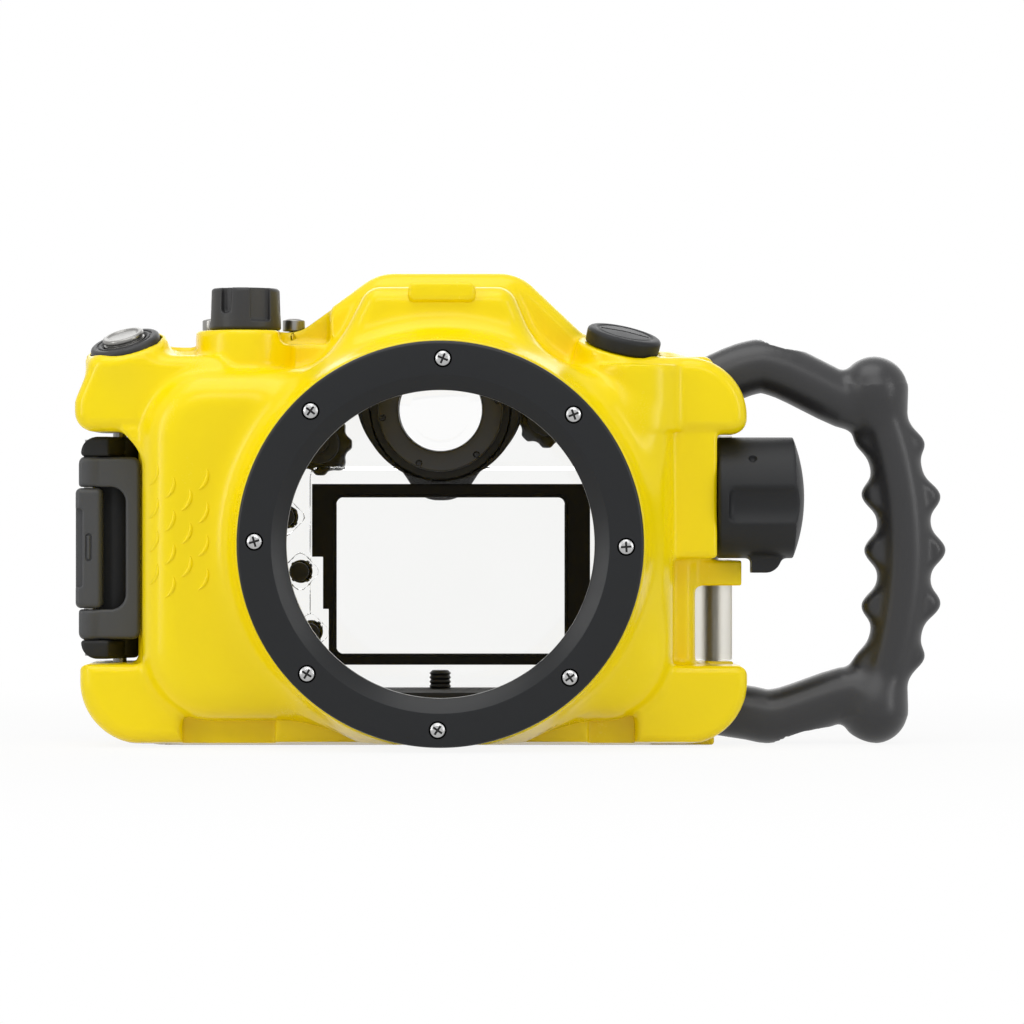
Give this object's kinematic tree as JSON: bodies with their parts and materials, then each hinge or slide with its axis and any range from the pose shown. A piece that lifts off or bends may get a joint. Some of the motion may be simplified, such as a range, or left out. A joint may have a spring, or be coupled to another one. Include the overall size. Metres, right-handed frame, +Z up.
{
  "type": "underwater camera housing",
  "caption": "Moulded underwater camera housing with round port ring, clear hinged rear cover, side latch, sealed controls and a D-shaped side handle.",
  "frame": {"origin": "on the base plane, below the middle of the port, on the parting plane between front shell and rear cover", "axes": "+X to the handle side (right as seen from the port), -Y out of the port, +Z up"},
  "size_m": [0.2518, 0.096, 0.1362],
  "materials": {
    "yellow_shell": "smooth moulded yellow, soft gloss",
    "anodised_ring": "black anodised, turned and satin",
    "knob_black": "fine matte black moulding",
    "handle_grey": "satin charcoal moulding",
    "latch_grey": "satin dark grey moulding",
    "steel": "turned and polished stainless steel",
    "brass_insert": "machined brass",
    "rubber_black": "smooth moulded rubber",
    "clear_cover": "clear polished polycarbonate",
    "finder_glass": "clear window"
  },
  "bodies": {
    "housing": {"front_shell": "yellow_shell", "port_ring": "anodised_ring", "port_seal": "rubber_black", "port_screw_1": "steel", "port_screw_2": "steel", "port_screw_3": "steel", "port_screw_4": "steel", "port_screw_5": "steel", "port_screw_6": "steel", "port_screw_7": "steel", "port_screw_8": "steel", "tripod_insert": "brass_insert", "latch_pin": "steel", "hinge_pin": "steel", "shutter_bezel": "knob_black", "camera_tray": "knob_black", "leak_sensor": "knob_black", "handle": "handle_grey", "handle_bolt_top": "steel", "handle_bolt_bottom": "steel", "top_spring_left": "steel", "top_spring_right": "steel", "shutter_spring": "steel"},
    "cover": {"rear_cover": "clear_cover", "cover_seal": "rubber_black", "viewfinder_bezel": "knob_black", "viewfinder_window": "finder_glass", "viewfinder_retainer": "knob_black", "viewfinder_eyecup": "rubber_black", "lcd_mask": "knob_black", "rear_spring_1": "steel", "rear_spring_2": "steel", "rear_spring_3": "steel"},
    "hook": {"latch_hook": "knob_black", "lever_pin": "steel"},
    "lever": {"latch_lever": "latch_grey"},
    "lock": {"latch_lock": "latch_grey"},
    "shutter_release": {"shutter_button": "steel"},
    "mode_dial": {"mode_knob": "knob_black", "mode_shaft": "steel", "mode_cup": "rubber_black", "mode_clip": "steel"},
    "top_push_left": {"top_button_left": "steel"},
    "top_push_right": {"top_button_right": "steel"},
    "accessory_plug": {"port_plug": "knob_black", "plug_seal": "rubber_black"},
    "focus_drive": {"focus_knob": "knob_black", "focus_shaft": "steel", "focus_gear": "rubber_black", "focus_clip": "steel"},
    "rear_dial_left": {"dial_left": "knob_black"},
    "rear_dial_right": {"dial_right": "knob_black"},
    "rear_push_1": {"rear_button_1": "knob_black"},
    "rear_push_2": {"rear_button_2": "knob_black"},
    "rear_push_3": {"rear_button_3": "knob_black"},
    "mount_screw": {"camera_screw": "steel"}
  },
  "joints": [
    {"name": "cover_swing", "type": "hinge", "parent": "housing", "child": "cover", "pos_m": [0.079, 0.0045, 0.05], "axis": [0, 0, -1], "range_deg": [0, 100]},
    {"name": "lever_swing", "type": "hinge", "parent": "hook", "child": "lever", "pos_m": [-0.1015, -0.024, 0.057], "axis": [0, 0, -1], "range_deg": [0, 90]},
    {"name": "hook_swing", "type": "hinge", "parent": "housing", "child": "hook", "pos_m": [-0.094, -0.014, 0.057], "axis": [0, 0, 1], "range_deg": [0, 27]},
    {"name": "lock_rock", "type": "hinge", "parent": "lever", "child": "lock", "pos_m": [-0.1015, -0.024, 0.057], "axis": [0, 0, -1], "range_deg": [0, 10], "stiffness_Nm_per_rad": 0.02, "springref_deg": -5.73},
    {"name": "shutter_press", "type": "slide", "parent": "housing", "child": "shutter_release", "axis": [0.235, 0.32, -0.9178], "range_m": [0, 0.0016], "stiffness_N_per_m": 300, "springref_m": -0.001, "deforming": ["shutter_spring"]},
    {"name": "mode_turn", "type": "hinge", "parent": "housing", "child": "mode_dial", "pos_m": [-0.057, -0.022, 0.125], "axis": [0, 0, 1], "continuous": true},
    {"name": "top_press_left", "type": "slide", "parent": "housing", "child": "top_push_left", "axis": [0, 0, -1], "range_m": [0, 0.0018], "stiffness_N_per_m": 300, "springref_m": -0.001, "deforming": ["top_spring_left"]},
    {"name": "top_press_right", "type": "slide", "parent": "housing", "child": "top_push_right", "axis": [0, 0, -1], "range_m": [0, 0.0018], "stiffness_N_per_m": 300, "springref_m": -0.001, "deforming": ["top_spring_right"]},
    {"name": "plug_turn", "type": "hinge", "parent": "housing", "child": "accessory_plug", "pos_m": [0.052, -0.028, 0.1165], "axis": [0.2126, -0.2309, 0.9495], "continuous": true},
    {"name": "focus_turn", "type": "hinge", "parent": "housing", "child": "focus_drive", "pos_m": [0.079, -0.022, 0.0713], "axis": [1, 0, 0], "continuous": true},
    {"name": "rear_dial_left_turn", "type": "hinge", "parent": "cover", "child": "rear_dial_left", "pos_m": [-0.0377, 0.026, 0.0877], "axis": [0, 1, 0], "continuous": true},
    {"name": "rear_dial_right_turn", "type": "hinge", "parent": "cover", "child": "rear_dial_right", "pos_m": [0.0305, 0.026, 0.096], "axis": [0, 1, 0], "continuous": true},
    {"name": "rear_press_1", "type": "slide", "parent": "cover", "child": "rear_push_1", "axis": [0, -1, 0], "range_m": [0, 0.0018], "stiffness_N_per_m": 300, "springref_m": -0.001, "deforming": ["rear_spring_1"]},
    {"name": "rear_press_2", "type": "slide", "parent": "cover", "child": "rear_push_2", "axis": [0, -1, 0], "range_m": [0, 0.0018], "stiffness_N_per_m": 300, "springref_m": -0.001, "deforming": ["rear_spring_2"]},
    {"name": "rear_press_3", "type": "slide", "parent": "cover", "child": "rear_push_3", "axis": [0, -1, 0], "range_m": [0, 0.0018], "stiffness_N_per_m": 300, "springref_m": -0.001, "deforming": ["rear_spring_3"]},
    {"name": "camera_screw_turn", "type": "hinge", "parent": "housing", "child": "mount_screw", "pos_m": [-0.001, -0.005, 0.015], "axis": [0, 0, 1], "continuous": true}
  ],
  "couplings": [
    {"joint": "hook_swing", "follows": "lever_swing", "ratio": 0.3}
  ]
}
